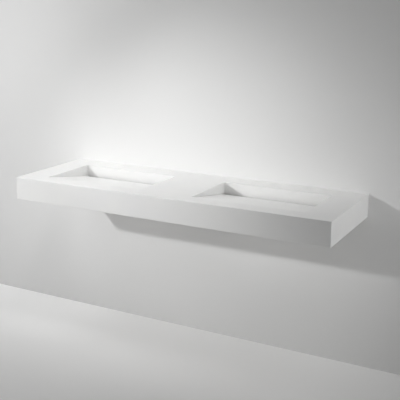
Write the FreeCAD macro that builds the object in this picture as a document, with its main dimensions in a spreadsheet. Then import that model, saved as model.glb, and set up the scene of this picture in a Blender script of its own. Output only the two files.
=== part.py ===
import FreeCAD, Part
import os
import re
import Sketcher
from FreeCAD import Placement, Rotation, Vector

# A double washbasin that hangs on a wall: a long slab glued up from solid-surface sheet, with two bowls.
# In each bowl a lift-out ramp falls towards the wall and ends in a slot, where the water drops to a hidden
# floor and its waste. Plywood battens stiffen the deck, and four steel brackets carry it.
# X runs along the wall, the wall is the plane Y = 0 with the basin at negative Y, and Z is up.
# The origin is the middle of the wall fixings, in the plane of the brackets' rear faces.

# Driving sizes in millimetres
sizes = {
    # The slab
    "overall_width": 1600,
    "overall_depth": 500,
    "overall_height": 108,
    "sheet": 12,  # thickness of the solid-surface sheet that everything white is cut from
    "arris": 1,  # bevel sanded along the outer edges
    # The deck that is left round and between the two openings
    "front_margin": 75,
    "rear_margin": 105,
    "side_margin": 135,
    "middle_margin": 270,
    # The hidden floors
    "floor_reveal": 2,  # the aprons hide the bowls by this much
    "floor_fall": 8,  # from the floor's front to its sump
    "sump_length": 100,
    "sump_fall": 3,  # from the sump's ends to its middle
    "sump_flat": 34,  # level half width round the waste
    # The lift-out ramps
    "lip_height": 40,  # of the ramp's rear lip above the sump
    "slot_width": 20,
    "ramp_gap": 0.8,  # beside the ramp and in front of it
    "lip_radius": 2,
    "drip_inset": 12,  # groove under the lip, which stops water from creeping back
    "drip_width": 4,
    "drip_depth": 3,
    "rail_width": 15,
    "rail_height": 15,
    "rail_shortfall": 25,  # the rails end this far before the lip
    "pad_width": 10,
    "pad_length": 36,
    "pad_thickness": 2,
    "pad_inset": 30,  # from the rails' ends
    "seat_gap": 0.2,  # between the ramp and its pads
    # The wastes
    "thread_radius": 20.95,
    "thread_length": 36,
    "thread_wall": 3.45,
    "flange_width": 10.5,
    "flange_thickness": 3,
    "flange_crown": 1,  # the flange's face stands this far above its bevelled rim
    "tail_radius": 16,
    "tail_length": 35,
    "tail_wall": 2,
    "grid_bar": 3,
    "grid_depth": 5,
    "waste_clearance": 1.05,  # round the thread in the floor
    "ring_clearance": 0.3,  # round the thread in the seal and the gasket
    "thread_clearance": 0.05,
    "seal_thickness": 2,
    "seal_inset": 1.5,
    "gasket_width": 8,
    "gasket_thickness": 4,
    "nut_wall": 4,
    "nut_thickness": 8,
    # The battens under the deck
    "batten_thickness": 18,
    "batten_clearance": 3,  # to the bowls
    # The brackets
    "bracket_width": 60,
    "bracket_clearance": 23,  # to the bowl beside each
    "bracket_setback": 100,  # from the slab's front face to the arms' ends
    "bracket_reveal": 8,  # the aprons hide the wall plates by this much
    "bracket_steel": 5,
    "bracket_corner": 8,
    "web_end": 12,
    "fixing_edge": 18,  # from the wall plate's upper and lower edge to the holes
    "fixing_radius": 4.5,
    # The screws that hold the brackets to the battens
    "screw_first": 40,  # from the wall
    "screw_last": 30,  # from the arm's end
    "screw_radius": 2,
    "screw_cover": 3,  # plywood left above the screw's point
    "screw_clearance": 0.25,  # in the steel
    "pilot_clearance": 0.05,  # in the plywood
    "screw_across": 8,
    "screw_head": 3.5,
    "overrun": 5,  # how far a cut runs past the piece it cuts
}

screws_per_bracket = 2

# What follows from the driving sizes
worked_out = {
    "half_width": "overall_width / 2",
    "side_inner": "half_width - sheet",
    "front_face": "-overall_depth",
    "front_inner": "front_face + sheet",
    "plate_height": "overall_height - sheet - batten_thickness - bracket_reveal",
    "rim": "plate_height / 2 + batten_thickness + sheet",
    "deck_under": "rim - sheet",
    "slab_bottom": "rim - overall_height",
    "opening_front": "front_face + front_margin",
    "opening_rear": "-rear_margin",
    "opening_width": "(overall_width - middle_margin) / 2 - side_margin",
    "opening_half": "opening_width / 2",
    "bowl_centre": "middle_margin / 2 + opening_half",
    "bowl_bottom": "slab_bottom + floor_reveal",
    "sump_top": "bowl_bottom + sheet",
    "sump_front": "opening_rear - sump_length",
    "waste_line": "opening_rear - sump_length / 2",
    "lip": "opening_rear - slot_width",
    "ramp_start": "opening_front + ramp_gap",
    "ramp_drop": "rim - sump_top - lip_height",
    "ramp_fall": "ramp_drop / (lip - opening_front)",
    "ramp_tilt": "atan(ramp_fall)",
    "ramp_upright": "sheet / cos(ramp_tilt)",
    "rail_below": "ramp_upright + (pad_thickness + seat_gap) / cos(ramp_tilt)",
    "rail_upright": "rail_height / cos(ramp_tilt)",
    "rail_end": "lip - rail_shortfall",
    "mouth_radius": "thread_radius - thread_wall",
    "flange_radius": "thread_radius + flange_width",
    "flange_top": "seal_thickness + flange_thickness",
    "grid_top": "flange_top + flange_crown",
    "thread_end": "-thread_length",
    "tail_end": "thread_end - tail_length",
    "tail_bore": "tail_radius - tail_wall",
    "nut_bore": "thread_radius + thread_clearance",
    "nut_across": "2 * (nut_bore + nut_wall)",
    "batten_under": "deck_under - batten_thickness",
    "front_batten_rear": "opening_front - sheet - batten_clearance",
    "rear_batten_front": "opening_rear + sheet + batten_clearance",
    "bracket_offset": "opening_half + sheet + bracket_clearance + bracket_width / 2",
    "outer_bracket": "bowl_centre + bracket_offset",
    "inner_bracket": "bowl_centre - bracket_offset",
    "bracket_reach": "overall_depth - bracket_setback",
    "arm_under": "batten_under - bracket_steel",
    "plate_bottom": "batten_under - plate_height",
    "fixing_half": "plate_height / 2 - fixing_edge",
    "screw_length": "bracket_steel + batten_thickness - screw_cover",
}

doc = FreeCAD.newDocument("double_washbasin")
table = doc.addObject("Spreadsheet::Sheet", "Sizes")
cells = {name: str(value) for name, value in sizes.items()}
cells.update({name: "=" + formula for name, formula in worked_out.items()})
for row, (name, content) in enumerate(cells.items(), start=1):
    table.set(f"A{row}", name)
    table.set(f"B{row}", content)
    table.setAlias(f"B{row}", name)
doc.recompute()

pieces = []


def in_table(text):
    """Formula of the sheet's names, as an expression that any object of the document can hold."""
    return re.sub(r"[a-z_]+", lambda word: ("Sizes." if word.group() in cells else "") + word.group(), str(text))


def bind(thing, setting, text):
    thing.setExpression(setting, in_table(text))


def number(text):
    return float(table.evalExpression(in_table(text)))


def new_body(name):
    body = doc.addObject("PartDesign::Body", name)
    body.Label = name
    pieces.append(body)
    return body


def place(piece, x, y, z):
    for axis, where in zip("xyz", (x, y, z)):
        bind(piece, f"Placement.Base.{axis}", where)


def draw_corners(sketch, corners):
    """Closed outline of straight lines, each corner tied to the sheet."""
    spots = [Vector(number(across), number(up), 0) for across, up in corners]
    first = sketch.GeometryCount
    for start, end in zip(spots, spots[1:] + spots[:1]):
        sketch.addGeometry(Part.LineSegment(start, end))
    for index, (across, up) in enumerate(corners):
        line = first + index
        following = first + (index + 1) % len(corners)
        sketch.addConstraint(Sketcher.Constraint("Coincident", line, 2, following, 1))
        tie(sketch, "DistanceX", line, 1, across, spots[index].x)
        tie(sketch, "DistanceY", line, 1, up, spots[index].y)


def draw_circle(sketch, across, up, radius):
    spot = Vector(number(across), number(up), 0)
    circle = sketch.addGeometry(Part.Circle(spot, Vector(0, 0, 1), number(radius)))
    tie(sketch, "DistanceX", circle, 3, across, spot.x)
    tie(sketch, "DistanceY", circle, 3, up, spot.y)
    index = sketch.addConstraint(Sketcher.Constraint("Radius", circle, number(radius)))
    sketch.renameConstraint(index, f"radius{circle}")
    bind(sketch, f"Constraints.radius{circle}", radius)


def tie(sketch, kind, geometry, point, text, value):
    """Distance of a point from the sketch's origin, held by a formula."""
    index = sketch.addConstraint(Sketcher.Constraint(kind, -1, 1, geometry, point, value))
    sketch.renameConstraint(index, f"{kind}{geometry}")
    bind(sketch, f"Constraints.{kind}{geometry}", text)


def new_sketch(body, name, role, loops, start):
    """Sketch on one of the body's own planes; a loop is a list of corners or one circle's (across, up, radius)."""
    sketch = body.newObject("Sketcher::SketchObject", name + "_sketch")
    plane = next(feature for feature in body.Origin.OriginFeatures if feature.Role == role)
    sketch.AttachmentSupport = [(plane, "")]
    sketch.MapMode = "FlatFace"
    bind(sketch, "AttachmentOffset.Base.z", start)
    for loop in loops:
        if isinstance(loop, list):
            draw_corners(sketch, loop)
        else:
            draw_circle(sketch, *loop)
    return sketch


def pad(body, name, role, loops, start, length):
    """Solid from the plane's offset start: along +Z, +X or -Y for the XY, YZ and XZ planes."""
    feature = body.newObject("PartDesign::Pad", name)
    feature.Profile = new_sketch(body, name, role, loops, start)
    bind(feature, "Length", length)
    doc.recompute()
    return feature


def pocket(body, name, role, loops, start, length):
    """Cut of the same reach and direction as a pad's; it has to take something away."""
    before = body.Shape.Volume
    sketch = new_sketch(body, name, role, loops, start)
    feature = body.newObject("PartDesign::Pocket", name)
    feature.Profile = sketch
    feature.Reversed = True
    bind(feature, "Length", length)
    doc.recompute()
    if not body.Shape.Volume < before:
        raise RuntimeError(f"{body.Label}: {name} cuts nothing")
    return feature


def turn(body, name, corners):
    """Solid of revolution about the body's own Z axis from a half profile of radius and height."""
    feature = body.newObject("PartDesign::Revolution", name)
    feature.Profile = new_sketch(body, name, "XZ_Plane", [corners], "0")
    feature.ReferenceAxis = (feature.Profile[0], ["V_Axis"])
    doc.recompute()
    return feature


def group(name, members):
    """Like pieces that share a name and a file, and stay separate solids."""
    bundle = doc.addObject("Part::Compound", name)
    bundle.Label = name
    bundle.Links = members
    pieces.append(bundle)


def round_edges(body, name, radius, wanted):
    """Fillet on the edges whose midpoint the test accepts."""
    edges = body.Tip.Shape.Edges
    chosen = []
    for index, edge in enumerate(edges, start=1):
        middle = edge.valueAt((edge.FirstParameter + edge.LastParameter) / 2)
        if wanted(edge, middle):
            chosen.append(f"Edge{index}")
    base = body.Tip
    feature = body.newObject("PartDesign::Fillet", name)
    feature.Base = (base, chosen)
    bind(feature, "Radius", radius)
    doc.recompute()
    return feature


def box(low, high):
    """Corners of a rectangle from its low and high corner."""
    return [(low[0], low[1]), (high[0], low[1]), (high[0], high[1]), (low[0], high[1])]


def plate(name, low_x, high_x, low_y, high_y, low_z, high_z):
    body = new_body(name)
    pad(body, "stock", "XY_Plane", [box((low_x, low_y), (high_x, high_y))], low_z, f"({high_z}) - ({low_z})")
    return body


# The slab: the deck lies on three aprons, mitred along every outer edge


def make_deck():
    deck = new_body("deck")
    openings = []
    for centre in ("-bowl_centre", "bowl_centre"):
        low = (f"{centre} - opening_half", "opening_front")
        high = (f"{centre} + opening_half", "opening_rear")
        openings.append(box(low, high))
    outline = box(("-half_width", "front_face"), ("half_width", "0"))
    pad(deck, "stock", "XY_Plane", [outline, *openings], "deck_under", "sheet")
    front = [
        ("front_face - overrun", "rim + overrun"),
        ("front_face + arris", "rim + overrun"),
        ("front_face + arris", "rim"),
        ("front_face + arris / 2", "rim - arris / 2"),
        ("front_inner", "deck_under"),
        ("front_face - overrun", "deck_under"),
    ]
    pocket(deck, "front_mitre", "YZ_Plane", [front], "-half_width - overrun", "overall_width + 2 * overrun")
    for side, hand in (("left", "-1"), ("right", "1")):
        across = [
            (f"{hand} * (half_width + overrun)", "rim + overrun"),
            (f"{hand} * (half_width - arris)", "rim + overrun"),
            (f"{hand} * (half_width - arris)", "rim"),
            (f"{hand} * (half_width - arris / 2)", "rim - arris / 2"),
            (f"{hand} * side_inner", "deck_under"),
            (f"{hand} * (half_width + overrun)", "deck_under"),
        ]
        pocket(deck, f"{side}_mitre", "XZ_Plane", [across], "-overrun", "overall_depth + 2 * overrun")


def make_front_apron():
    apron = new_body("front_apron")
    plan = [
        ("-half_width + arris", "front_face"),
        ("half_width - arris", "front_face"),
        ("half_width - arris / 2", "front_face + arris / 2"),
        ("side_inner", "front_inner"),
        ("-side_inner", "front_inner"),
        ("-half_width + arris / 2", "front_face + arris / 2"),
    ]
    pad(apron, "stock", "XY_Plane", [plan], "slab_bottom", "overall_height")
    mitre = [
        ("front_face - overrun", "rim - arris"),
        ("front_face", "rim - arris"),
        ("front_face + arris / 2", "rim - arris / 2"),
        ("front_inner", "deck_under"),
        ("front_inner + overrun", "deck_under"),
        ("front_inner + overrun", "rim + overrun"),
        ("front_face - overrun", "rim + overrun"),
    ]
    lower = [
        ("front_face", "slab_bottom"),
        ("front_face + arris", "slab_bottom"),
        ("front_face", "slab_bottom + arris"),
    ]
    for name, outline in (("mitre", mitre), ("lower_arris", lower)):
        pocket(apron, name, "YZ_Plane", [outline], "-half_width - overrun", "overall_width + 2 * overrun")


def make_side_apron(side, hand):
    apron = new_body(f"{side}_apron")
    outer = f"{hand} * half_width"
    inner = f"{hand} * side_inner"
    plan = [
        (outer, "0"),
        (outer, "front_face + arris"),
        (f"{hand} * (half_width - arris / 2)", "front_face + arris / 2"),
        (inner, "front_inner"),
        (inner, "0"),
    ]
    pad(apron, "stock", "XY_Plane", [plan], "slab_bottom", "overall_height")
    mitre = [
        (f"{hand} * (half_width + overrun)", "rim - arris"),
        (outer, "rim - arris"),
        (f"{hand} * (half_width - arris / 2)", "rim - arris / 2"),
        (inner, "deck_under"),
        (f"{hand} * (side_inner - overrun)", "deck_under"),
        (f"{hand} * (side_inner - overrun)", "rim + overrun"),
        (f"{hand} * (half_width + overrun)", "rim + overrun"),
    ]
    lower = [
        (outer, "slab_bottom"),
        (f"{hand} * (half_width - arris)", "slab_bottom"),
        (outer, "slab_bottom + arris"),
    ]
    for name, outline in (("mitre", mitre), ("lower_arris", lower)):
        pocket(apron, name, "XZ_Plane", [outline], "-overrun", "overall_depth + 2 * overrun")


# A bowl: four walls glued under the deck round its opening, and a floor between them that falls to the rear


def make_bowl(side, centre):
    left = f"{centre} - opening_half"
    right = f"{centre} + opening_half"
    long_walls = {
        "front_wall": ("opening_front - sheet", "opening_front"),
        "rear_wall": ("opening_rear", "opening_rear + sheet"),
    }
    for name, (low_y, high_y) in long_walls.items():
        reach = (f"{left} - sheet", f"{right} + sheet")
        plate(f"{side}_bowl_{name}", *reach, low_y, high_y, "bowl_bottom", "deck_under")
    end_walls = {
        "left_wall": (f"{left} - sheet", left),
        "right_wall": (right, f"{right} + sheet"),
    }
    for name, (low_x, high_x) in end_walls.items():
        plate(f"{side}_bowl_{name}", low_x, high_x, "opening_front", "opening_rear", "bowl_bottom", "deck_under")

    floor = new_body(f"{side}_bowl_floor")
    section = [
        ("opening_front", "bowl_bottom"),
        ("opening_rear", "bowl_bottom"),
        ("opening_rear", "sump_top + sump_fall"),
        ("sump_front", "sump_top + sump_fall"),
        ("opening_front", "sump_top + sump_fall + floor_fall"),
    ]
    pad(floor, "stock", "YZ_Plane", [section], left, "opening_width")
    channel = [
        (left, "sump_top + sump_fall"),
        (f"{centre} - sump_flat", "sump_top"),
        (f"{centre} + sump_flat", "sump_top"),
        (right, "sump_top + sump_fall"),
        (right, "sump_top + overrun"),
        (left, "sump_top + overrun"),
    ]
    pocket(floor, "sump", "XZ_Plane", [channel], "-opening_rear", "sump_length")
    hole = (centre, "waste_line", "thread_radius + waste_clearance")
    pocket(floor, "waste_hole", "XY_Plane", [hole], "bowl_bottom - overrun", "sheet + 2 * overrun")


# A ramp: the plate that lifts out, the two sloping rails that carry it, and the pads between them


def ramp_height(line):
    """Height of the ramp's upper face at a distance from the wall."""
    return f"rim - (({line}) - opening_front) * ramp_fall"


def make_ramp(side, centre):
    ramp = new_body(f"{side}_ramp")
    section = [
        ("ramp_start", ramp_height("ramp_start")),
        ("lip", ramp_height("lip")),
        ("lip", ramp_height("lip") + " - ramp_upright"),
        ("ramp_start", ramp_height("ramp_start") + " - ramp_upright"),
    ]
    edge = f"{centre} - opening_half + ramp_gap"
    span = "opening_width - 2 * ramp_gap"
    pad(ramp, "stock", "YZ_Plane", [section], edge, span)
    far = "lip - drip_inset"
    near = "lip - drip_inset - drip_width"
    groove = [
        (far, ramp_height(far) + " - ramp_upright - overrun"),
        (far, ramp_height(far) + " - ramp_upright + drip_depth"),
        (near, ramp_height(near) + " - ramp_upright + drip_depth"),
        (near, ramp_height(near) + " - ramp_upright - overrun"),
    ]
    pocket(ramp, "drip_groove", "YZ_Plane", [groove], f"{edge} - overrun", f"{span} + 2 * overrun")
    lip = Vector(number(centre), number("lip"), number(ramp_height("lip")))
    round_edges(ramp, "lip_edge", "lip_radius", lambda edge, middle: middle.distanceToPoint(lip) < number("arris"))


def make_rails(side, centre):
    section = [
        ("opening_front", ramp_height("opening_front") + " - rail_below"),
        ("rail_end", ramp_height("rail_end") + " - rail_below"),
        ("rail_end", ramp_height("rail_end") + " - rail_below - rail_upright"),
        ("opening_front", ramp_height("opening_front") + " - rail_below - rail_upright"),
    ]
    for end, start in (("left", f"{centre} - opening_half"), ("right", f"{centre} + opening_half - rail_width")):
        rail = new_body(f"{side}_ramp_{end}_rail")
        pad(rail, "stock", "YZ_Plane", [section], start, "rail_width")


def make_pads(side, centre):
    strips = []
    for across in (f"{centre} - opening_half + rail_width / 2", f"{centre} + opening_half - rail_width / 2"):
        for line in ("opening_front + pad_inset", "rail_end - pad_inset - pad_length"):
            strip = doc.addObject("Part::Box", f"{side}_ramp_pad")
            bind(strip, "Length", "pad_width")
            bind(strip, "Width", "pad_length")
            bind(strip, "Height", "pad_thickness")
            strip.Placement = Placement(Vector(), Rotation(Vector(-1, 0, 0), number("ramp_tilt")))
            bind(strip, "Placement.Rotation.Angle", "ramp_tilt")
            place(strip, f"{across} - pad_width / 2", line, ramp_height(line) + " - rail_below")
            strips.append(strip)
    group(f"{side}_ramp_pads", strips)


# A waste: the flanged body with its grid and tail, the rings that seal it to the floor, and its nut

bowls = {"left": "-bowl_centre", "right": "bowl_centre"}


def make_waste(side, centre):
    waste = new_body(f"{side}_waste")
    profile = [
        ("mouth_radius", "grid_top"),
        ("flange_radius - flange_crown", "grid_top"),
        ("flange_radius", "flange_top"),
        ("flange_radius", "seal_thickness"),
        ("thread_radius", "seal_thickness"),
        ("thread_radius", "thread_end"),
        ("tail_radius", "thread_end"),
        ("tail_radius", "tail_end"),
        ("tail_bore", "tail_end"),
        ("tail_bore", "thread_end + tail_wall"),
        ("mouth_radius", "thread_end + tail_wall"),
    ]
    turn(waste, "turned_body", profile)
    reach = "(mouth_radius + thread_radius) / 2"
    half = "grid_bar / 2"
    cross = []
    for along, across in (("", ""), ("-", ""), ("-", "-"), ("", "-")):
        arm = (f"{along}({reach})", f"{across}({half})")
        notch = (f"{along}({half})", f"{across}({half})")
        other = (f"{along}({half})", f"{across}({reach})")
        cross += [arm, notch, other] if along == across else [other, notch, arm]
    pad(waste, "grid", "XY_Plane", [cross], "grid_top - grid_depth", "grid_depth - flange_crown")
    place(waste, centre, "waste_line", "sump_top")


def make_rings(side, centre):
    """Foam seal between the waste's flange and the floor, and the rubber gasket under the floor."""
    bore = ("0", "0", "thread_radius + ring_clearance")
    seal = new_body(f"{side}_waste_seal")
    pad(seal, "washer", "XY_Plane", [("0", "0", "flange_radius - seal_inset"), bore], "0", "seal_thickness")
    place(seal, centre, "waste_line", "sump_top")
    gasket = new_body(f"{side}_waste_gasket")
    outer = ("0", "0", "thread_radius + gasket_width")
    pad(gasket, "ring", "XY_Plane", [outer, bore], "-gasket_thickness", "gasket_thickness")
    place(gasket, centre, "waste_line", "bowl_bottom")


def hexagon(across):
    """Corners of a hexagon from its width across the flats."""
    reach = f"{across} / 2 / cos({360 / 12} deg)"
    angles = [f"{360 / 6 * corner} deg" for corner in range(6)]
    return [(f"{reach} * cos({angle})", f"{reach} * sin({angle})") for angle in angles]


def make_nut(side, centre):
    """Hexagon nut that pulls the waste down."""
    nut = new_body(f"{side}_waste_nut")
    outline = [hexagon("nut_across"), ("0", "0", "nut_bore")]
    pad(nut, "hexagon", "XY_Plane", outline, "-nut_thickness", "nut_thickness")
    place(nut, centre, "waste_line", "bowl_bottom - gasket_thickness")


# The frame under the deck: battens, brackets and their screws

brackets = {
    "outer_left": ("-outer_bracket", "-1"),
    "inner_left": ("-inner_bracket", "-1"),
    "inner_right": ("inner_bracket", "1"),
    "outer_right": ("outer_bracket", "1"),
}


def screw_lines():
    """Distances from the wall, evenly from the first screw to the last."""
    pitch = f"(bracket_reach - screw_first - screw_last) / {screws_per_bracket - 1}"
    return [f"-screw_first - {index} * {pitch}" for index in range(screws_per_bracket)]


def drill(batten, centres, lines):
    """Pilot holes for the screws, as deep as the screws reach."""
    holes = [(centre, line, "screw_radius + pilot_clearance") for centre in centres for line in lines]
    pocket(batten, "pilot_holes", "XY_Plane", holes, "arm_under", "screw_length")


def make_battens():
    levels = ("batten_under", "deck_under")
    plate("front_batten", "-side_inner", "side_inner", "front_inner", "front_batten_rear", *levels)
    rear = plate("rear_batten", "-side_inner", "side_inner", "rear_batten_front", "0", *levels)
    drill(rear, [centre for centre, hand in brackets.values()], screw_lines()[:1])
    for name, (centre, hand) in brackets.items():
        reach = (f"{centre} - bracket_width / 2", f"{centre} + bracket_width / 2")
        batten = plate(f"{name}_batten", *reach, "front_batten_rear", "rear_batten_front", *levels)
        drill(batten, [centre], screw_lines()[1:])


def make_bracket(name, centre, hand):
    """Welded from an arm, a wall plate and a web on the side away from the bowl's middle or the slab's."""
    bracket = new_body(f"{name}_bracket")
    free = f"{centre} - {hand} * bracket_width / 2"
    webbed = f"{centre} + {hand} * bracket_width / 2"
    inset = f"{free} + {hand} * bracket_corner"
    arm = [
        (webbed, "0"),
        (webbed, "-bracket_reach"),
        (inset, "-bracket_reach"),
        (free, "-bracket_reach + bracket_corner"),
        (free, "0"),
    ]
    pad(bracket, "arm", "XY_Plane", [arm], "arm_under", "bracket_steel")
    wall_plate = [
        (webbed, "batten_under"),
        (webbed, "plate_bottom"),
        (inset, "plate_bottom"),
        (free, "plate_bottom + bracket_corner"),
        (free, "batten_under"),
    ]
    pad(bracket, "wall_plate", "XZ_Plane", [wall_plate], "0", "bracket_steel")
    web = [
        ("0", "plate_bottom"),
        ("-bracket_steel", "plate_bottom"),
        ("-bracket_reach", "arm_under - web_end"),
        ("-bracket_reach", "batten_under"),
        ("0", "batten_under"),
    ]
    face = f"{webbed} - bracket_steel" if hand == "1" else webbed
    pad(bracket, "web", "YZ_Plane", [web], face, "bracket_steel")
    fixings = [(centre, sign + "fixing_half", "fixing_radius") for sign in ("", "-")]
    pocket(bracket, "wall_holes", "XZ_Plane", fixings, "-overrun", "bracket_steel + 2 * overrun")
    holes = [(centre, line, "screw_radius + screw_clearance") for line in screw_lines()]
    pocket(bracket, "screw_holes", "XY_Plane", holes, "arm_under - overrun", "bracket_steel + 2 * overrun")


def make_screws():
    """Hexagon-headed wood screws, up through the arms into the battens."""
    screws = []
    for centre, hand in brackets.values():
        for line in screw_lines():
            head = doc.addObject("Part::Prism", "head")
            bind(head, "Circumradius", f"screw_across / 2 / cos({360 / 12} deg)")
            bind(head, "Height", "screw_head")
            place(head, centre, line, "arm_under - screw_head")
            shank = doc.addObject("Part::Cylinder", "shank")
            bind(shank, "Radius", "screw_radius")
            bind(shank, "Height", "screw_length")
            place(shank, centre, line, "arm_under")
            screw = doc.addObject("Part::Fuse", "screw")
            screw.Base = head
            screw.Tool = shank
            screws.append(screw)
    group("bracket_screws", screws)


make_deck()
make_front_apron()
make_side_apron("left", "-1")
make_side_apron("right", "1")
for bowl_side, bowl_place in bowls.items():
    make_bowl(bowl_side, bowl_place)
    make_ramp(bowl_side, bowl_place)
    make_rails(bowl_side, bowl_place)
    make_pads(bowl_side, bowl_place)
    make_waste(bowl_side, bowl_place)
    make_rings(bowl_side, bowl_place)
    make_nut(bowl_side, bowl_place)
make_battens()
for bracket_name, (bracket_place, bracket_hand) in brackets.items():
    make_bracket(bracket_name, bracket_place, bracket_hand)
make_screws()
doc.recompute()

for thing in doc.Objects:
    if "Invalid" in thing.State or "Error" in thing.State:
        raise RuntimeError(f"{thing.Label} failed: {thing.State}")
os.makedirs("parts", exist_ok=True)
for piece in pieces:
    if piece.Shape.isNull() or not piece.Shape.isValid():
        raise RuntimeError(f"{piece.Label} has no valid shape")
    piece.Shape.exportStep(f"parts/{piece.Label}.step")
    print(f"{piece.Label}: {len(piece.Shape.Solids)} solid(s), {piece.Shape.Volume / 1000:.1f} cm3")
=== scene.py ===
import math

import bmesh
import bpy
from mathutils import Matrix, Vector


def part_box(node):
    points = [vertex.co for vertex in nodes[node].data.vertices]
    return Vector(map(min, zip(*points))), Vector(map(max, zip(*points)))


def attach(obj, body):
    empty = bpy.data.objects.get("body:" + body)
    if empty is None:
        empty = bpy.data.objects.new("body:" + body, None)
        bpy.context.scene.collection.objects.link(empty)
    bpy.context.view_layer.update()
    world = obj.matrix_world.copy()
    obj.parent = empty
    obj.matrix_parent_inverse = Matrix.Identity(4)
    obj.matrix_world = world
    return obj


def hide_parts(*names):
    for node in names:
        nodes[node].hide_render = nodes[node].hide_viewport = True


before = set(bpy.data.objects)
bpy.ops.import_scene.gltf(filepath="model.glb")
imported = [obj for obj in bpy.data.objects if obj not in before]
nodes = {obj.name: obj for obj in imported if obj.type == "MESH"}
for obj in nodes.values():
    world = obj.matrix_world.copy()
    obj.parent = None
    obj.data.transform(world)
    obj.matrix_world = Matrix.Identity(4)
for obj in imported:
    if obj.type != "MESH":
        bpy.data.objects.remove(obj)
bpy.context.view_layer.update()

millimetre = 0.001
turn = 2 * math.pi
hexagonSide = turn / 6  # the angle that one side of a hexagon takes up


# Meshes: outlines and sizes are in millimetres, points in metres

samePoint = 0.001  # points closer than this are one
cornerShare = 0.45  # the most of a side that one rounded corner takes


def newPiece(name, mesh, finish, body="basin"):
    piece = bpy.data.objects.new(name, mesh)
    bpy.context.scene.collection.objects.link(piece)
    piece.data.materials.append(finish)
    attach(piece, body)
    return piece


def meshFromParts(name, parts, smoothAngle):
    # one mesh from several (points, faces) shells, with crisp edges above the angle
    points = []
    faces = []
    for partPoints, partFaces in parts:
        start = len(points)
        points += [tuple(point) for point in partPoints]
        faces += [[start + index for index in face] for face in partFaces]
    mesh = bpy.data.meshes.new(name)
    mesh.from_pydata(points, [], faces)
    work = bmesh.new()
    work.from_mesh(mesh)
    bmesh.ops.remove_doubles(work, verts=work.verts, dist=samePoint * millimetre)
    bmesh.ops.recalc_face_normals(work, faces=work.faces)
    for face in work.faces:
        face.smooth = True
    for edge in work.edges:
        edge.smooth = len(edge.link_faces) == 2 and edge.calc_face_angle() < math.radians(smoothAngle)
    work.to_mesh(mesh)
    work.free()
    return mesh


def uprightAxis(low, high):
    # the middle of a box in plan, at height 0
    return Vector(((low.x + high.x) / 2, (low.y + high.y) / 2, 0))


def clamp(value):
    return min(1, max(0, value))


def roundCorners(profile, radius, steps, closed=True):
    # each corner of a profile becomes a small arc; an open profile keeps its two ends
    rounded = []
    count = len(profile)
    for index, corner in enumerate(profile):
        if not closed and index in (0, count - 1):
            rounded.append(corner)
            continue
        here = Vector(corner)
        before = Vector(profile[index - 1]) - here
        after = Vector(profile[(index + 1) % count]) - here
        cut = min(radius, before.length * cornerShare, after.length * cornerShare)
        start = here + before.normalized() * cut
        end = here + after.normalized() * cut
        for step in range(steps + 1):
            share = step / steps
            point = start * (1 - share) ** 2 + here * 2 * share * (1 - share) + end * share ** 2
            rounded.append((point.x, point.y))
    return rounded


def skin(rows, count, closed=False):
    # quads between rows of count points each; unless the rows close up, both ends get a flat face
    faces = []
    for row in range(rows if closed else rows - 1):
        here = row * count
        there = (row + 1) % rows * count
        for index in range(count):
            side = (index + 1) % count
            faces.append([here + index, here + side, there + side, there + index])
    if not closed:
        faces.append(list(range(count))[::-1])
        faces.append([(rows - 1) * count + index for index in range(count)])
    return faces


def turned(rows, segments, middle, closed=True):
    # shell turned about an upright axis from (radius, height) rows; a radius may be a function of the
    # angle and the height
    points = []
    for radius, height in rows:
        for index in range(segments):
            angle = turn * index / segments
            reach = radius(angle, height) if callable(radius) else radius
            spot = Vector((reach * math.cos(angle), reach * math.sin(angle), height)) * millimetre
            points.append(middle + spot)
    return points, skin(len(rows), segments, closed)


def hexagonRow(across, corner):
    # the radius round a hexagon whose corners are turned down to a given radius
    def reach(angle, height):
        return min(across / 2 / math.cos((angle % hexagonSide) - hexagonSide / 2), corner)

    return reach


def offCrest(angle, height, pitch):
    # 0 on a thread's crest, 1 in its root
    phase = (height / pitch + angle / turn) % 1
    return abs(phase * 2 - 1)


# Node helpers: a noise is given by its scale, detail and distortion, a bump by its depth and strength


def newFinish(name):
    finish = bpy.data.materials.new(name)
    finish.use_nodes = True
    tree, links = finish.node_tree.nodes, finish.node_tree.links
    return finish, tree, links, tree["Principled BSDF"]


def objectPlace(tree, links, stretch=(1, 1, 1)):
    place = tree.new("ShaderNodeTexCoord")
    mapping = tree.new("ShaderNodeMapping")
    mapping.inputs["Scale"].default_value = stretch
    links.new(place.outputs["Object"], mapping.inputs["Vector"])
    return mapping.outputs["Vector"]


def noise(tree, links, place, scale, detail, distortion=0.0):
    texture = tree.new("ShaderNodeTexNoise")
    texture.inputs["Scale"].default_value = scale
    texture.inputs["Detail"].default_value = detail
    texture.inputs["Distortion"].default_value = distortion
    links.new(place, texture.inputs["Vector"])
    return texture.outputs["Fac"]


def spread(tree, links, value, low, high, fromLow=0.3, fromHigh=0.7):
    # a noise's values lie mostly between the ends that stand here
    stretch = tree.new("ShaderNodeMapRange")
    stretch.inputs["From Min"].default_value = fromLow
    stretch.inputs["From Max"].default_value = fromHigh
    stretch.inputs["To Min"].default_value = low
    stretch.inputs["To Max"].default_value = high
    links.new(value, stretch.inputs["Value"])
    return stretch.outputs["Result"]


def combine(tree, links, operation, first, second):
    step = tree.new("ShaderNodeMath")
    step.operation = operation
    links.new(first, step.inputs[0])
    links.new(second, step.inputs[1])
    return step.outputs["Value"]


def colourRamp(tree, links, value, places, colours):
    ramp = tree.new("ShaderNodeValToRGB")
    while len(ramp.color_ramp.elements) < len(colours):
        ramp.color_ramp.elements.new(0.5)
    for element, where, colour in zip(ramp.color_ramp.elements, places, colours):
        element.position = where
        element.color = (*colour, 1)
    links.new(value, ramp.inputs["Fac"])
    return ramp.outputs["Color"]


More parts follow.
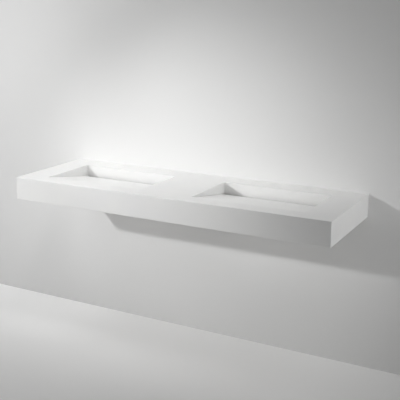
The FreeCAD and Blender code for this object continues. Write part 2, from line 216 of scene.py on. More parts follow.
def mixColour(tree, links, share, first, second, blend="MIX"):
    mix = tree.new("ShaderNodeMix")
    mix.data_type = "RGBA"
    mix.blend_type = blend
    sockets = (mix.inputs["Factor"], mix.inputs["A"], mix.inputs["B"])
    for socket, value in zip(sockets, (share, first, second)):
        if isinstance(value, bpy.types.NodeSocket):
            links.new(value, socket)
        elif isinstance(value, tuple):
            socket.default_value = (*value, 1)
        else:
            socket.default_value = value
    return mix.outputs["Result"]


def addBump(tree, links, shader, height, depth, strength):
    bump = tree.new("ShaderNodeBump")
    bump.inputs["Strength"].default_value = strength
    bump.inputs["Distance"].default_value = depth
    links.new(height, bump.inputs["Height"])
    links.new(bump.outputs["Normal"], shader.inputs["Normal"])


# Finishes: values whose names end in Places say where a colour ramp's colours stand

solidSurfaceLook = {
    "colour": (0.865, 0.865, 0.858),
    "paleGrain": (0.905, 0.905, 0.90),
    "darkGrain": (0.80, 0.80, 0.79),
    "grain": (1100, 1.0),
    "grainPlaces": (0.30, 0.38, 0.64, 0.74),
    "cloud": (5, 3.0, 0.4),
    "cloudPlaces": (0.3, 0.7),
    "cloudTones": ((0.975, 0.975, 0.98), (1, 1, 0.995)),  # they multiply the grain's colour
    "wipeStretch": (6, 22, 22),
    "wipe": (1.3, 4.0, 0.6),
    "roughness": (0.36, 0.47),
    "sandingStretch": (1, 3.5, 3.5),
    "sanding": (260, 4.0),
    "sandingBump": (0.00003, 0.5),
}


def solidSurfaceFinish():
    look = solidSurfaceLook
    finish, tree, links, shader = newFinish("white solid surface")
    place = objectPlace(tree, links)
    grain = noise(tree, links, place, *look["grain"])
    grainColours = (look["darkGrain"], look["colour"], look["colour"], look["paleGrain"])
    grainColour = colourRamp(tree, links, grain, look["grainPlaces"], grainColours)
    cloud = noise(tree, links, place, *look["cloud"])
    tone = colourRamp(tree, links, cloud, look["cloudPlaces"], look["cloudTones"])
    links.new(mixColour(tree, links, 1.0, grainColour, tone, "MULTIPLY"), shader.inputs["Base Color"])
    wiped = noise(tree, links, objectPlace(tree, links, look["wipeStretch"]), *look["wipe"])
    links.new(spread(tree, links, wiped, *look["roughness"]), shader.inputs["Roughness"])
    sanding = noise(tree, links, objectPlace(tree, links, look["sandingStretch"]), *look["sanding"])
    addBump(tree, links, shader, sanding, *look["sandingBump"])
    return finish


plywoodLook = {
    "palest": (0.80, 0.64, 0.45),
    "pale": (0.72, 0.55, 0.36),
    "brown": (0.62, 0.44, 0.26),
    "dark": (0.50, 0.33, 0.18),
    "glue": (0.20, 0.12, 0.07),
    "fibreStretch": {"across": (2.2, 40, 40), "frontToBack": (40, 2.2, 40)},
    "fibres": (3.2, 6.0, 1.6),
    "fibrePlaces": (0.32, 0.52, 0.75),
    "fibreBump": (0.00025, 0.5),
    "plyThickness": 1.362,  # one wave is a pale ply and a dark one
    "plyPlaces": (0.0, 0.12, 0.5, 0.95),
    "plyWander": 0.35,
    "plyWanderScale": 3.0,
    "endGrainStretch": (1, 1, 6),
    "endGrain": (420, 2.0),
    "endGrainShade": (0.0, 0.45),
    "veneerTilt": (0.4, 0.6),  # of the normal's height: plies below the first, veneer above the second
    "roughness": (0.50, 0.68),
}


def plywoodFinish(name, grainRun):
    look = plywoodLook
    finish, tree, links, shader = newFinish(name)
    stretch = look["fibreStretch"][grainRun]
    fibres = noise(tree, links, objectPlace(tree, links, stretch), *look["fibres"])
    veneerColours = (look["dark"], look["pale"], look["palest"])
    veneer = colourRamp(tree, links, fibres, look["fibrePlaces"], veneerColours)
    wave = 2 * look["plyThickness"] * millimetre
    plies = tree.new("ShaderNodeTexWave")
    plies.wave_type = "BANDS"
    plies.bands_direction = "Z"
    plies.inputs["Scale"].default_value = turn / 20 / wave  # at scale 1 the bands are turn / 20 apart
    plies.inputs["Distortion"].default_value = look["plyWander"]
    plies.inputs["Detail Scale"].default_value = look["plyWanderScale"]
    links.new(objectPlace(tree, links), plies.inputs["Vector"])
    plyColours = (look["glue"], look["dark"], look["pale"], look["brown"])
    edge = colourRamp(tree, links, plies.outputs["Fac"], look["plyPlaces"], plyColours)
    endGrain = noise(tree, links, objectPlace(tree, links, look["endGrainStretch"]), *look["endGrain"])
    endShade = spread(tree, links, endGrain, *look["endGrainShade"])
    shadedEdge = mixColour(tree, links, endShade, edge, look["dark"])
    geometry = tree.new("ShaderNodeNewGeometry")
    split = tree.new("ShaderNodeSeparateXYZ")
    links.new(geometry.outputs["Normal"], split.inputs["Vector"])
    upright = tree.new("ShaderNodeMath")
    upright.operation = "ABSOLUTE"
    links.new(split.outputs["Z"], upright.inputs[0])
    flat = spread(tree, links, upright.outputs["Value"], 0.0, 1.0, *look["veneerTilt"])
    links.new(mixColour(tree, links, flat, shadedEdge, veneer), shader.inputs["Base Color"])
    links.new(spread(tree, links, fibres, *look["roughness"]), shader.inputs["Roughness"])
    addBump(tree, links, shader, fibres, *look["fibreBump"])
    return finish


powderCoatLook = {
    "colour": (0.60, 0.61, 0.615),
    "shade": (0.55, 0.56, 0.57),
    "dust": (18, 5.0, 0.8),
    "dustPlaces": (0.35, 0.6),
    "roughness": (0.36, 0.5),
    "coat": 0.15,
    "peel": (520, 1.5),
    "peelBump": (0.00006, 0.8),
}


def powderCoatFinish():
    look = powderCoatLook
    finish, tree, links, shader = newFinish("grey powder coat")
    place = objectPlace(tree, links)
    dust = noise(tree, links, place, *look["dust"])
    colour = colourRamp(tree, links, dust, look["dustPlaces"], (look["shade"], look["colour"]))
    links.new(colour, shader.inputs["Base Color"])
    links.new(spread(tree, links, dust, *look["roughness"]), shader.inputs["Roughness"])
    shader.inputs["Coat Weight"].default_value = look["coat"]
    addBump(tree, links, shader, noise(tree, links, place, *look["peel"]), *look["peelBump"])
    return finish


metalDrift = {"noise": (60, 4.0, 0.5), "places": (0.35, 0.65)}  # of brightness, on every metal
metalLooks = {
    "zinc plating": {
        "dull": (0.50, 0.52, 0.55),
        "bright": (0.72, 0.73, 0.75),
        "roughness": (0.24, 0.42),
        "grain": (700, 2.0),
        "grainBump": (0.00004, 0.6),
    },
    "chrome plating": {
        "dull": (0.78, 0.79, 0.81),
        "bright": (0.86, 0.86, 0.87),
        "roughness": (0.05, 0.13),
        "grain": (900, 2.0),
        "grainBump": (0.00001, 0.6),
    },
    "bare brass": {
        "dull": (0.56, 0.39, 0.18),
        "bright": (0.80, 0.60, 0.30),
        "roughness": (0.22, 0.42),
        "grain": (500, 2.0),
        "grainBump": (0.00004, 0.6),
    },
}


def metalFinish(name):
    look = metalLooks[name]
    finish, tree, links, shader = newFinish(name)
    place = objectPlace(tree, links)
    drift = noise(tree, links, place, *metalDrift["noise"])
    colour = colourRamp(tree, links, drift, metalDrift["places"], (look["dull"], look["bright"]))
    links.new(colour, shader.inputs["Base Color"])
    shader.inputs["Metallic"].default_value = 1.0
    links.new(spread(tree, links, drift, *look["roughness"]), shader.inputs["Roughness"])
    addBump(tree, links, shader, noise(tree, links, place, *look["grain"]), *look["grainBump"])
    return finish


rubberLook = {
    "colour": (0.022, 0.022, 0.023),
    "worn": (0.06, 0.06, 0.062),
    "bloom": (90, 4.0, 0.4),
    "bloomPlaces": (0.35, 0.75),
    "roughness": (0.5, 0.72),
    "grain": (900, 2.0),
    "grainBump": (0.00005, 0.6),
}


def rubberFinish():
    look = rubberLook
    finish, tree, links, shader = newFinish("black rubber")
    place = objectPlace(tree, links)
    bloom = noise(tree, links, place, *look["bloom"])
    colour = colourRamp(tree, links, bloom, look["bloomPlaces"], (look["colour"], look["worn"]))
    links.new(colour, shader.inputs["Base Color"])
    links.new(spread(tree, links, bloom, *look["roughness"]), shader.inputs["Roughness"])
    addBump(tree, links, shader, noise(tree, links, place, *look["grain"]), *look["grainBump"])
    return finish


siliconeLook = {
    "shade": (0.76, 0.79, 0.80),
    "colour": (0.83, 0.85, 0.85),
    "haze": (140, 2.0),
    "hazePlaces": (0.3, 0.7),
    "hazeBump": (0.00002, 0.3),
    "roughness": (0.34, 0.46),
    "refraction": 1.41,
    "clearness": 0.2,
}


def siliconeFinish():
    look = siliconeLook
    finish, tree, links, shader = newFinish("clear silicone")
    haze = noise(tree, links, objectPlace(tree, links), *look["haze"])
    colour = colourRamp(tree, links, haze, look["hazePlaces"], (look["shade"], look["colour"]))
    links.new(colour, shader.inputs["Base Color"])
    links.new(spread(tree, links, haze, *look["roughness"]), shader.inputs["Roughness"])
    shader.inputs["IOR"].default_value = look["refraction"]
    shader.inputs["Transmission Weight"].default_value = look["clearness"]
    addBump(tree, links, shader, haze, *look["hazeBump"])
    return finish


finishes = {
    "solid_surface": solidSurfaceFinish(),
    "plywoodAcross": plywoodFinish("birch plywood across", "across"),
    "plywoodDeep": plywoodFinish("birch plywood front to back", "frontToBack"),
    "bracket_steel": powderCoatFinish(),
    "screw_zinc": metalFinish("zinc plating"),
    "waste_chrome": metalFinish("chrome plating"),
    "nut_brass": metalFinish("bare brass"),
    "rubber_ring": rubberFinish(),
    "silicone": siliconeFinish(),
}
print("finishes made:", len(finishes))


# CAD nodes that stay: their finish, and a small bevel where the real edge is broken

edgeBreaks = {"ramp": 0.5, "batten": 0.6, "bracket": 0.5, "rail": 0.5}  # millimetres, by a name's last word
edgeSettings = {
    "samePoint": 0.005,  # millimetres
    "flatAngle": 1,  # degrees
    "sharpAngle": 40,
    "segments": 2,
}


def breakEdges(node, width):
    weld = node.modifiers.new("weld corners", "WELD")
    weld.merge_threshold = edgeSettings["samePoint"] * millimetre
    flatten = node.modifiers.new("join flat faces", "DECIMATE")
    flatten.decimate_type = "DISSOLVE"
    flatten.angle_limit = math.radians(edgeSettings["flatAngle"])
    bevel = node.modifiers.new("broken edges", "BEVEL")
    bevel.width = width * millimetre
    bevel.segments = edgeSettings["segments"]
    bevel.limit_method = "ANGLE"
    bevel.angle_limit = math.radians(edgeSettings["sharpAngle"])
    bevel.harden_normals = True


def nodeFinish(name):
    if name in ("front_batten", "rear_batten"):
        return finishes["plywoodAcross"]
    if name.endswith("_batten"):
        return finishes["plywoodDeep"]
    if name.endswith("_bracket"):
        return finishes["bracket_steel"]
    return finishes["solid_surface"]


def dressNode(name, node):
    for slot in node.material_slots:
        slot.link = "OBJECT"
        slot.material = nodeFinish(name)
    kind = name.split("_")[-1]
    if kind in edgeBreaks:
        breakEdges(node, edgeBreaks[kind])


for name, node in nodes.items():
    dressNode(name, node)
print("frame nodes dressed:", len(nodes))


# The wastes: chromed body with its grid and thread, rubber rings and brass nut

wasteSizes = {
    "flangeReach": 10.5,  # of the flange beyond the thread
    "flangeThickness": 3.0,
    "crown": 1.0,
    "rimRound": 0.4,
    "rimSteps": 4,
    "wall": 3.45,
    "mouthEdge": 2.0,
    "pitch": 2.309,  # of the 1 1/4 inch pipe thread
    "threadDepth": 1.2,
    "flankSlope": 1.5,  # with the flank offset it leaves flat crests and roots
    "flankOffset": 0.25,
    "threadRunOut": 3.0,
    "plainShare": 0.5,  # of the run-out, next to the flange
    "threadRelief": 0.6,
    "tailRadius": 16.0,
    "tailWall": 2.0,
    "tailLength": 35.0,
    "footRound": 0.5,
    "footSteps": 3,
    "bars": 4,
    "barWidth": 3.0,
    "barDepth": 4.0,
    "barDrop": 1.0,  # of the bars' tops below the flange's
    "barGrip": 1.0,  # of the bars' ends in the wall
    "barRound": 0.7,
    "barSteps": 3,
    "segments": 72,
    "rowsPerPitch": 6,
    "smoothAngle": 35,
}


def wasteBody(middle, flange, barrel, bottom, top):
    # crowned flange, threaded barrel, plain tail and stepped bore
    size = wasteSizes
    underFlange = top - size["crown"] - size["flangeThickness"]
    threadEnd = bottom + size["tailLength"]
    shoulder = threadEnd + size["tailWall"]
    mouth = barrel - size["wall"]
    tail = size["tailRadius"]
    tailBore = tail - size["tailWall"]

    def threaded(angle, height):
        ridge = 1 - offCrest(angle, height, size["pitch"])
        runOut = clamp((underFlange - height) / size["threadRunOut"] - size["plainShare"])
        fade = min(runOut, max(0, (height - threadEnd) / size["pitch"]))
        groove = 1 - clamp(ridge * size["flankSlope"] - size["flankOffset"])
        return barrel - size["threadDepth"] * groove * fade

    rim = [(mouth, top - size["mouthEdge"]), (mouth, top), (flange - size["crown"], top),
           (flange, top - size["crown"]), (flange, underFlange), (barrel, underFlange)]
    rows = roundCorners(rim, size["rimRound"], size["rimSteps"], closed=False)
    threadRows = int((underFlange - threadEnd) / size["pitch"] * size["rowsPerPitch"])
    for index in range(1, threadRows):
        rows.append((threaded, underFlange - (underFlange - threadEnd) * index / threadRows))
    foot = [(barrel - size["threadRelief"], threadEnd), (tail, threadEnd), (tail, bottom),
            (tailBore, bottom), (tailBore, shoulder), (mouth, shoulder),
            (mouth, top - 2 * size["mouthEdge"])]
    rows += roundCorners(foot, size["footRound"], size["footSteps"], closed=False)
    return turned(rows, size["segments"], middle)


def wasteGrid(middle, mouth, top):
    # bars from the middle of the mouth into its wall
    size = wasteSizes
    half = size["barWidth"] / 2
    upper = top - size["barDrop"]
    lower = upper - size["barDepth"]
    outline = [(-half, lower), (half, lower), (half, upper), (-half, upper)]
    section = roundCorners(outline, size["barRound"], size["barSteps"])
    bars = []
    for index in range(size["bars"]):
        heading = Matrix.Rotation(turn / size["bars"] * index, 3, "Z")
        points = []
        for along in (0, mouth + size["barGrip"]):
            for across, up in section:
                points.append(middle + heading @ Vector((along, across, up)) * millimetre)
        bars.append((points, skin(2, len(section))))
    return bars


def makeWaste(side):
    low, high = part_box(f"{side}_waste")
    middle = uprightAxis(low, high)
    bottom, top = low.z / millimetre, high.z / millimetre
    flange = (high.x - low.x) / 2 / millimetre
    barrel = flange - wasteSizes["flangeReach"]
    parts = [wasteBody(middle, flange, barrel, bottom, top)]
    parts += wasteGrid(middle, barrel - wasteSizes["wall"], top)
    mesh = meshFromParts(f"{side} waste", parts, wasteSizes["smoothAngle"])
    waste = newPiece(f"{side}_waste_body", mesh, finishes["waste_chrome"])
    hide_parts(f"{side}_waste")


ringSizes = {
    "bore": 21.25,  # radius, 0.3 clear of the waste's thread
    "bulge": {"seal": 0.4, "gasket": 1.1},  # where the ring is squeezed
    "roundShare": 0.35,  # of the ring's height
    "roundSteps": 4,
    "segments": 64,
    "smoothAngle": 60,
}


def makeRing(side, kind):
    # soft ring that swells a little where it is squeezed
    size = ringSizes
    nodeName = f"{side}_waste_{kind}"
    low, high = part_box(nodeName)
    outer = (high.x - low.x) / 2 / millimetre
    edge = outer - size["bulge"][kind]
    bottom, top = low.z / millimetre, high.z / millimetre
    waist = (bottom + top) / 2
    profile = [(size["bore"], bottom), (edge, bottom), (outer, waist), (edge, top), (size["bore"], top)]
    rows = roundCorners(profile, (top - bottom) * size["roundShare"], size["roundSteps"])
    parts = [turned(rows, size["segments"], uprightAxis(low, high))]
    mesh = meshFromParts(nodeName, parts, size["smoothAngle"])
    ring = newPiece(f"{nodeName}_ring", mesh, finishes["rubber_ring"])
    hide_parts(nodeName)


nutSizes = {
    "chamfer": 1.4,
    "chamferRun": 2,  # how far in it goes for each step up
    "chamferSteps": 5,
    "bore": 21.0,
    "boreChamfer": 1.0,
    "segments": 120,
    "smoothAngle": 28,
}


def makeNut(side):
    # plain hexagon, its corners turned off at both faces
    size = nutSizes
    low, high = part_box(f"{side}_waste_nut")
    bottom, top = low.z / millimetre, high.z / millimetre
    across = (high.y - low.y) / millimetre
    corner = across / 2 / math.cos(hexagonSide / 2)
    cut = []
    for step in range(size["chamferSteps"] + 1):
        share = step / size["chamferSteps"]
        reach = corner - size["chamfer"] * size["chamferRun"] * (1 - share)
        cut.append((hexagonRow(across, reach), size["chamfer"] * share))
    bore, boreFace = size["bore"], size["bore"] + size["boreChamfer"]
    rows = [(bore, bottom + size["boreChamfer"]), (boreFace, bottom)]
    rows += [(radius, bottom + rise) for radius, rise in cut]
    rows += [(radius, top - rise) for radius, rise in reversed(cut)]
    rows += [(boreFace, top), (bore, top - size["boreChamfer"])]
    parts = [turned(rows, size["segments"], uprightAxis(low, high))]
    mesh = meshFromParts(f"{side} nut", parts, size["smoothAngle"])
    nut = newPiece(f"{side}_waste_backnut", mesh, finishes["nut_brass"])
    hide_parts(f"{side}_waste_nut")


for side in ("left", "right"):
    makeWaste(side)
    for kind in ringSizes["bulge"]:
        makeRing(side, kind)
    makeNut(side)
print("wastes made")


# The pads under the ramps: ribbed strips of soft silicone

padSizes = {
    "width": 10.0,
    "length": 36.0,
    "thickness": 2.0,
    "ribPitch": 4.0,
    "ribDepth": 0.35,
    "endRound": 3.0,
    "edgeRoundShare": 0.18,  # of half the width, and of the thickness
    "edgeSteps": 3,
    "stations": 73,
    "smoothAngle": 50,
}


def ribbedPad(corner, tilt):
    # one pad from its lower front left corner, laid down the slope
    size = padSizes
    slope = Matrix.Rotation(-tilt, 3, "X")
    section = roundCorners([(-1, 0), (1, 0), (1, 1), (-1, 1)], size["edgeRoundShare"], size["edgeSteps"])
    points = []
    for station in range(size["stations"]):
        along = size["length"] * station / (size["stations"] - 1)
        fromEnd = min(along, size["length"] - along)
        inset = max(0, 1 - fromEnd / size["endRound"])
        half = size["width"] / 2 - size["endRound"] * (1 - math.sqrt(max(0, 1 - inset * inset)))
        rib = size["ribDepth"] * (0.5 - 0.5 * math.cos(turn * along / size["ribPitch"]))
        for across, up in section:
            height = up * (size["thickness"] - rib)
            spot = Vector((half * across + size["width"] / 2, along, height)) * millimetre
            points.append(corner + slope @ spot)
    return points, skin(size["stations"], len(section))


def makePads(side):
    # the node's points, pad by pad, give each pad's corner and slope
    node = nodes[f"{side}_ramp_pads"]
    low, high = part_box(node.name)
    middle = uprightAxis(low, high)
    parts = []
    for leftHand in (True, False):
        for atFront in (True, False):
            pad = [vertex.co for vertex in node.data.vertices
                   if (vertex.co.x < middle.x) == leftHand and (vertex.co.y < middle.y) == atFront]
            front = min(pad, key=lambda spot: spot.y)
            rear = min(pad, key=lambda spot: spot.z)
            corner = Vector((min(spot.x for spot in pad), front.y, front.z))
            parts.append(ribbedPad(corner, math.atan2(front.z - rear.z, rear.y - front.y)))
    mesh = meshFromParts(f"{side} pads", parts, padSizes["smoothAngle"])
    strips = newPiece(f"{side}_ramp_silicone", mesh, finishes["silicone"])
    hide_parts(node.name)


for side in ("left", "right"):
    makePads(side)
print("pads made")


# Screws up through the brackets: washer face, hexagon head, and a coarse wood thread

screwSizes = {
    "across": 8.0,
    "corner": 4.62,
    "head": 3.5,
    "headEnd": [(2.6, 0.0), (3.0, 0.05)],  # radius, and height above the head's end
    "chamfer": 0.9,
    "chamferStart": 0.15,  # height above the head's end
    "chamferRise": 0.18,  # from row to row
    "chamferSteps": 3,
    "washer": 0.9,
    "washerFace": [(4.1, 0.85), (4.5, 0.6), (4.6, 0.2), (4.5, 0.0)],  # radius, and depth below the seat
    "shank": 2.0,
    "core": 1.35,
    "pitch": 1.8,
    "flankSlope": 2.2,
    "length": 20.0,
    "point": 4.0,
    "tip": 0.02,
    "headSegments": 48,
    "threadSegments": 14,
    "rowsPerPitch": 5,
    "apart": 15.0,  # the CAD node's points that are closer belong to one screw
    "smoothAngle": 30,
}


def screwHead(middle, seat):
    size = screwSizes
    end = seat - size["head"]
    rows = [(radius, end + rise) for radius, rise in size["headEnd"]]
    for step in range(size["chamferSteps"] + 1):
        inset = size["chamfer"] * (1 - step / size["chamferSteps"])
        rise = size["chamferStart"] + size["chamferRise"] * step
        rows.append((hexagonRow(size["across"], size["corner"] - inset), end + rise))
    rows.append((hexagonRow(size["across"], size["corner"]), seat - size["washer"]))
    rows += [(radius, seat - depth) for radius, depth in size["washerFace"]]
    rows.append((size["shank"], seat))
    return turned(rows, size["headSegments"], middle, closed=False)


def screwThread(middle, seat):
    size = screwSizes

    def threaded(angle, height):
        taper = min(1, (seat + size["length"] - height) / size["point"])
        ridge = max(0, 1 - offCrest(angle, height, size["pitch"]) * size["flankSlope"])
        return max(size["tip"], (size["core"] + (size["shank"] - size["core"]) * ridge) * taper)

    steps = int(size["length"] / size["pitch"] * size["rowsPerPitch"])
    rows = [(threaded, seat + size["length"] * index / steps) for index in range(steps + 1)]
    return turned(rows, size["threadSegments"], middle, closed=False)


def screwPlaces(node):
    # the middle of each screw in plan, from the CAD node's points
    groups = []
    for vertex in node.data.vertices:
        spot = vertex.co.xy
        near = [group for group in groups if (spot - group[0]).length < screwSizes["apart"] * millimetre]
        if near:
            near[0].append(spot)
        else:
            groups.append([spot])
    places = []
    for group in groups:
        across = [spot.x for spot in group]
        deep = [spot.y for spot in group]
        places.append(Vector(((min(across) + max(across)) / 2, (min(deep) + max(deep)) / 2, 0)))
    return places


def makeScrews():
    low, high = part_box("bracket_screws")
    seat = low.z / millimetre + screwSizes["head"]
    places = screwPlaces(nodes["bracket_screws"])
    parts = []
    for middle in places:
        parts += [screwHead(middle, seat), screwThread(middle, seat)]
    mesh = meshFromParts("bracket screws", parts, screwSizes["smoothAngle"])
    screws = newPiece("bracket_wood_screws", mesh, finishes["screw_zinc"])
    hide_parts("bracket_screws")
    return len(places)


print("screws made:", makeScrews())


# Weld beads in the inner corners of the brackets

weldSizes = {
    "steel": 5.0,
    "leg": 3.0,
    "ripple": 1.3,
    "rippleShare": 0.12,  # of the leg
    "flatShare": 0.20,  # taken off a quarter round at the bead's middle
    "endSlope": 1.2,
    "endShare": 0.2,  # of the leg, left at a bead's ends
    "stitches": 4,  # along the web, under the arm
    "stitch": 34.0,
    "fromWall": 30.0,  # to where the stitches start
    "plateGaps": (4.0, 6.0),  # above and below the bead on the wall plate
    "rowsPerRipple": 4,
    "fewestRows": 8,
    "arcSteps": 5,
    "smoothAngle": 60,
}


def weldBead(start, end, firstLeg, secondLeg):
    # convex fillet from start to end, rippled across its run
    size = weldSizes
    ripple = size["ripple"] * millimetre
    leg = size["leg"] * millimetre
    length = (end - start).length
    stations = max(size["fewestRows"], int(length / ripple * size["rowsPerRipple"]))
    points = []
    for station in range(stations + 1):
        along = station / stations
        wave = 1 - size["rippleShare"] + size["rippleShare"] * math.cos(turn * along * length / ripple)
        fromEnd = min(along, 1 - along) * length / leg
        swell = max(size["endShare"], math.sqrt(min(1, fromEnd * size["endSlope"])))
        spot = start.lerp(end, along)
        points.append(spot)
        for step in range(size["arcSteps"] + 1):
            angle = turn / 4 * step / size["arcSteps"]
            bow = 1 - size["flatShare"] * math.sin(2 * angle)
            outward = firstLeg * math.cos(angle) + secondLeg * math.sin(angle)
            points.append(spot + outward * (leg * wave * swell) * bow)
    return points, skin(stations + 1, size["arcSteps"] + 2)


def makeWelds(name, outward):
    # outward: +1 where the web stands on the bracket's +X edge
    size = weldSizes
    low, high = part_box(name)
    steel = size["steel"] * millimetre
    web = (high.x - steel) if outward > 0 else (low.x + steel)
    inward = Vector((-outward, 0, 0))
    under = high.z - steel
    rear = high.y - size["fromWall"] * millimetre
    half = size["stitch"] * millimetre / 2
    parts = []
    for index in range(size["stitches"]):
        centre = rear - (rear - low.y) * (index + 0.5) / size["stitches"]
        parts.append(weldBead(Vector((web, centre + half, under)), Vector((web, centre - half, under)),
                              inward, Vector((0, 0, -1))))
    plate = high.y - steel
    above, below = size["plateGaps"]
    parts.append(weldBead(Vector((web, plate, under - above * millimetre)),
                          Vector((web, plate, low.z + below * millimetre)), inward, Vector((0, -1, 0))))
    mesh = meshFromParts(f"{name} welds", parts, size["smoothAngle"])
    newPiece(f"{name}_welds", mesh, finishes["bracket_steel"])


for name, outward in (("outer_left", -1), ("inner_left", -1), ("inner_right", 1), ("outer_right", 1)):
    makeWelds(f"{name}_bracket", outward)
print("welds made")


# Stage: a pale wall behind the basin and a pale floor, in metres, seen from their own side only

stageSizes = {
    "floorHeight": -0.773,
    "wallPlace": 0.0008,
    "reach": 9.0,
    "wallHeight": 6.0,
    "glowSpan": (-2.04, 1.2),  # X from a plane's left glow to its right one
    "farSpan": (1.5, 2.6),  # metres from the basin over which the stage gives way to the pale world
    "farForward": 1.3,  # how much sooner it does so in front of the wall
}
# The glow on the wall and floor is painted light: emission that only the eye sees, brighter to the left and
# towards the wall, which lightens the basin's cast shadow as fill light would.
stageLooks = {  # a glow is for the eye alone, and has faded out at its glowEnd in Y
    "wall": {"colour": (0.80, 0.80, 0.795), "leftPaintedLight": 0.140, "rightPaintedLight": 0.0, "glowEnd": -9.0},
    "floor": {"colour": (0.78, 0.78, 0.775), "leftPaintedLight": 0.321, "rightPaintedLight": 0.019, "glowEnd": -1.6},
}
plasterLook = {
    "cloud": (1.1, 4.0),
    "cloudPlaces": (0.3, 0.7),
    "cloudShade": 0.985,
    "roughness": 0.9,
    "gloss": 0.2,
    "grain": (160, 3.0),
    "grainBump": (0.0002, 0.3),
}


def seenRays(tree, links):
    # 1 for what the camera, metal and the clear pads show, 0 for light on its way to the basin
    rays = tree.new("ShaderNodeLightPath")
    seen = rays.outputs["Is Camera Ray"]
    for kind in ("Is Glossy Ray", "Is Transmission Ray"):
        seen = combine(tree, links, "MAXIMUM", seen, rays.outputs[kind])
    return seen


# painted light: the plane glows brighter to the left and towards the wall, lifting the basin's cast shadow
# on it
def addPaintedLight(tree, links, shader, look):
    split = tree.new("ShaderNodeSeparateXYZ")
    links.new(objectPlace(tree, links), split.inputs["Vector"])
    sideways = spread(tree, links, split.outputs["X"], look["leftPaintedLight"], look["rightPaintedLight"],
                      *stageSizes["glowSpan"])
    nearWall = spread(tree, links, split.outputs["Y"], 0.0, 1.0, look["glowEnd"], 0.0)
    glow = combine(tree, links, "MULTIPLY", sideways, nearWall)
    seenPaintedLight = combine(tree, links, "MULTIPLY", glow, seenRays(tree, links))
    links.new(seenPaintedLight, shader.inputs["Emission Strength"])


def farShare(tree, links):
    # 0 near the basin, 1 where the eye no longer sees the stage
    distance = tree.new("ShaderNodeVectorMath")
    distance.operation = "LENGTH"
    links.new(objectPlace(tree, links, (1, stageSizes["farForward"], 1)), distance.inputs[0])
    fade = tree.new("ShaderNodeMapRange")
    fade.interpolation_type = "SMOOTHSTEP"
    fade.inputs["From Min"].default_value, fade.inputs["From Max"].default_value = stageSizes["farSpan"]
    links.new(distance.outputs["Value"], fade.inputs["Value"])
    return combine(tree, links, "MULTIPLY", fade.outputs["Result"], seenRays(tree, links))


def stageFinish(name, look):
    finish, tree, links, shader = newFinish(name)
    addPaintedLight(tree, links, shader, look)
    place = objectPlace(tree, links)
    cloud = noise(tree, links, place, *plasterLook["cloud"])
    shade = tuple(level * plasterLook["cloudShade"] for level in look["colour"])
    colour = colourRamp(tree, links, cloud, plasterLook["cloudPlaces"], (shade, look["colour"]))
    links.new(colour, shader.inputs["Base Color"])
    shader.inputs["Roughness"].default_value = plasterLook["roughness"]
    shader.inputs["Specular IOR Level"].default_value = plasterLook["gloss"]
    grain = noise(tree, links, place, *plasterLook["grain"])
    addBump(tree, links, shader, grain, *plasterLook["grainBump"])
    geometry = tree.new("ShaderNodeNewGeometry")
    clear = tree.new("ShaderNodeBsdfTransparent")
    mix = tree.new("ShaderNodeMixShader")
    unseen = combine(tree, links, "MAXIMUM", geometry.outputs["Backfacing"], farShare(tree, links))
    links.new(unseen, mix.inputs["Fac"])
    links.new(shader.outputs["BSDF"], mix.inputs[1])
    links.new(clear.outputs["BSDF"], mix.inputs[2])
    links.new(mix.outputs["Shader"], tree["Material Output"].inputs["Surface"])
    return finish


def makeStagePlane(name, corners, finish):
    mesh = bpy.data.meshes.new(name)
    mesh.from_pydata(corners, [], [[0, 1, 2, 3]])
    plane = bpy.data.objects.new(name, mesh)
    bpy.context.scene.collection.objects.link(plane)
    mesh.materials.append(finish)
    return plane


def makeStage():
    reach, floor, wall = stageSizes["reach"], stageSizes["floorHeight"], stageSizes["wallPlace"]
    top = floor + stageSizes["wallHeight"]
    wallCorners = [(-reach, wall, floor), (reach, wall, floor), (reach, wall, top), (-reach, wall, top)]
    floorCorners = [(-reach, -reach, floor), (reach, -reach, floor),
                    (reach, wall, floor), (-reach, wall, floor)]
    wallPlane = makeStagePlane("wall", wallCorners, stageFinish("plastered wall", stageLooks["wall"]))
    wallPlane.visible_shadow = False
    makeStagePlane("floor", floorCorners, stageFinish("poured floor", stageLooks["floor"]))


makeStage()
print("stage made")


# Light and camera: aims and places in metres, cones and turns in degrees

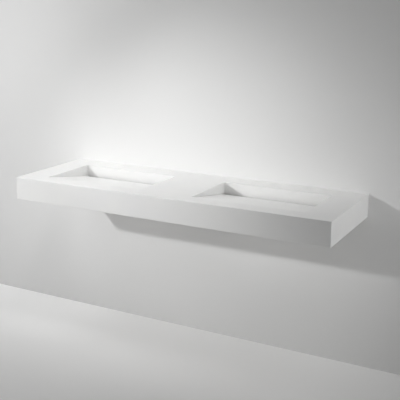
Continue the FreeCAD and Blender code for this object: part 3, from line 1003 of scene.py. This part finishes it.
keySpot = {"place": (-1.93, -2.90, 1.21), "radius": 0.07}  # four spots here make one key light
overSpot = {"radius": 0.2, "cone": 36}
spotBlend = 1.0  # every spot fades from its middle to its edge
openSpread = 180  # of an area lamp that names none
lamps = {
    "keyLeft": {**keySpot, "aim": (-1.3, 0.0, 0.15), "power": 56.0, "cone": 34},
    "keyMiddle": {**keySpot, "aim": (0.0, 0.0, -0.2), "power": 124, "cone": 34},
    "keyRight": {**keySpot, "aim": (0.25, 0.0, 0.3), "power": 118, "cone": 24},
    "keyWide": {**keySpot, "aim": (-0.75, 0.0, 0.0), "power": 51.6, "cone": 46},
    "overRight": {**overSpot, "place": (0.9, -0.9, 1.5), "aim": (0.1, -0.2, 0.0), "power": 12.6},
    "overLeft": {**overSpot, "place": (0.1, -0.9, 1.5), "aim": (-0.65, -0.2, 0.0), "power": 31.7},
    "rightLow": {"place": (2.6, -0.6, 0.35), "aim": (0.8, -0.3, 0.0), "power": 2.3, "size": 0.9,
                 "spread": 70},
    "rightTop": {"place": (1.8, -0.9, 1.9), "aim": (0.2, -0.2, 0.0), "power": 7.2, "size": 1.2},
    "leftTop": {"place": (-1.3, -0.9, 1.9), "aim": (-0.5, -0.2, 0.0), "power": 15.9, "size": 1.2},
    "leftFront": {"place": (-2.4, -2.2, 0.4), "aim": (-0.6, -0.2, 0.0), "power": 6.2, "size": 1.5},
    "leftLow": {"place": (-1.8, -1.6, -0.4), "aim": (-0.3, 0.0, -0.1), "power": 2.0, "size": 1.2},
    "under": {"place": (0.0, -0.6, -0.74), "aim": (0.0, -0.3, 0.0), "power": 2.75, "size": 1.8},
    "behind": {"place": (0.3, 1.8, -0.35), "aim": (0.0, 0.0, -0.02), "power": 14, "size": 1.6},
}
worldLevels = {"light": 0.03, "seen": 0.80}  # what falls on the basin, and what the eye sees
cameraView = {
    "place": (1.697, -3.215, 0.892),
    "turnDown": 75.271,
    "turnLeft": 28.584,
    "lens": 67.99,
    "sensor": 36,
    "clipStart": 0.05,
}


def makeLamp(name, look):
    if "cone" in look:
        lamp = bpy.data.lights.new(name, "SPOT")
        lamp.spot_size = math.radians(look["cone"])
        lamp.spot_blend = spotBlend
        lamp.shadow_soft_size = look["radius"]
    else:
        lamp = bpy.data.lights.new(name, "AREA")
        lamp.size = look["size"]
        lamp.spread = math.radians(look.get("spread", openSpread))
    lamp.energy = look["power"]
    holder = bpy.data.objects.new(name, lamp)
    bpy.context.scene.collection.objects.link(holder)
    holder.location = look["place"]
    towards = Vector(look["aim"]) - Vector(look["place"])
    holder.rotation_euler = towards.to_track_quat("-Z", "Y").to_euler()


def makeWorld():
    world = bpy.data.worlds.new("studio")
    world.use_nodes = True
    tree, links = world.node_tree.nodes, world.node_tree.links
    seen = seenRays(tree, links)
    level = spread(tree, links, seen, worldLevels["light"], worldLevels["seen"], 0.0, 1.0)
    links.new(level, tree["Background"].inputs["Strength"])
    tree["Background"].inputs["Color"].default_value = (1, 1, 1, 1)
    bpy.context.scene.world = world


def makeCamera():
    camera = bpy.data.cameras.new("photo view")
    camera.lens = cameraView["lens"]
    camera.sensor_width = cameraView["sensor"]
    camera.clip_start = cameraView["clipStart"]
    holder = bpy.data.objects.new("photo view", camera)
    bpy.context.scene.collection.objects.link(holder)
    holder.location = cameraView["place"]
    holder.rotation_euler = (math.radians(cameraView["turnDown"]), 0, math.radians(cameraView["turnLeft"]))
    bpy.context.scene.camera = holder


for name, look in lamps.items():
    makeLamp(name, look)
makeWorld()
makeCamera()
bpy.context.scene.view_settings.view_transform = "Standard"
print("light and camera set")

bpy.context.view_layer.update()
